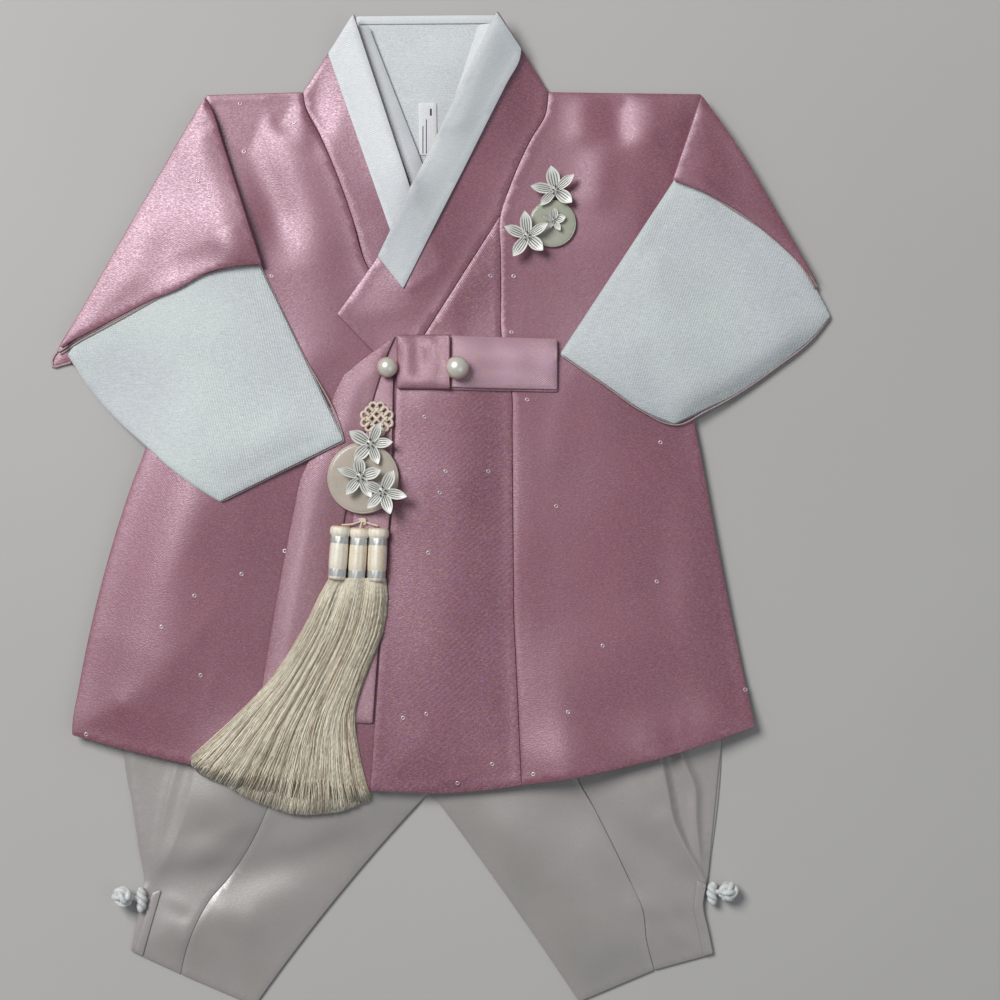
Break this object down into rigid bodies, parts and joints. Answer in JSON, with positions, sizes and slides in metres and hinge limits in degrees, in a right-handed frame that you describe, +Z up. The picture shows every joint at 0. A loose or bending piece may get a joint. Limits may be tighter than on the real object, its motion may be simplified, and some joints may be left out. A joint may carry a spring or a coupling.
{
  "type": "korean hanbok",
  "caption": "Child's hanbok laid flat: wrapped satin jacket with turned-over sleeves, white inner jacket, wide trousers, ribbon tie, tasselled pendant and brooch.",
  "frame": {"origin": "on the surface that the set lies on, under the middle of its outline", "axes": "+Z up out of the surface, +Y towards the neck, +X towards the wearer's left"},
  "size_m": [0.4041, 0.5146, 0.0258],
  "materials": {
    "satin_rose": "dusty rose crepe satin with a soft sheen",
    "white_satin": "cool white matt satin",
    "trouser_satin": "pale greige satin",
    "pearl": "pearl lustre",
    "jade": "polished pale jade-like stone",
    "silver": "matt silver plate with engraved veins",
    "tassel_thread": "silky straw-coloured thread",
    "white_cord": "white satin cord"
  },
  "bodies": {
    "root": {"ankle_binding_left": "trouser_satin", "ankle_binding_right": "trouser_satin", "ankle_knot_left": "white_cord", "ankle_knot_right": "white_cord", "ankle_loop_left": "white_cord", "ankle_loop_right": "white_cord", "brooch_disc": "jade", "brooch_flower_lower": "silver", "brooch_flower_small": "silver", "brooch_flower_upper": "silver", "collar_back": "satin_rose", "collar_facing_over": "white_satin", "collar_facing_under": "white_satin", "collar_over": "satin_rose", "collar_under": "satin_rose", "front_gore": "satin_rose", "front_left_side": "satin_rose", "front_right_side": "satin_rose", "inner_back": "white_satin", "inner_collar_left": "white_satin", "inner_collar_right": "white_satin", "inner_sleeve_left_back": "white_satin", "inner_sleeve_left_front": "white_satin", "inner_sleeve_right_back": "white_satin", "inner_sleeve_right_front": "white_satin", "jacket_back": "satin_rose", "neck_facing": "white_satin", "norigae_cord": "tassel_thread", "norigae_disc": "jade", "norigae_flower_lower": "silver", "norigae_flower_middle": "silver", "norigae_flower_upper": "silver", "norigae_knot": "tassel_thread", "pearl_large": "pearl", "pearl_small": "pearl", "ribbon_knot": "satin_rose", "ribbon_loop": "satin_rose", "ribbon_tail_long": "satin_rose", "ribbon_tail_short": "satin_rose", "size_label": "white_satin", "sleeve_left_back": "satin_rose", "sleeve_left_front": "satin_rose", "sleeve_right_back": "satin_rose", "sleeve_right_front": "satin_rose", "sleeve_under_left": "satin_rose", "sleeve_under_right": "satin_rose", "tassel_head_left": "tassel_thread", "tassel_head_middle": "tassel_thread", "tassel_head_right": "tassel_thread", "tassel_skirt": "tassel_thread", "trousers_back_left": "trouser_satin", "trousers_back_right": "trouser_satin", "trousers_front_left_inner": "trouser_satin", "trousers_front_left_outer": "trouser_satin", "trousers_front_right_inner": "trouser_satin", "trousers_front_right_outer": "trouser_satin", "trousers_waistband": "trouser_satin"}
  },
  "joints": []
}
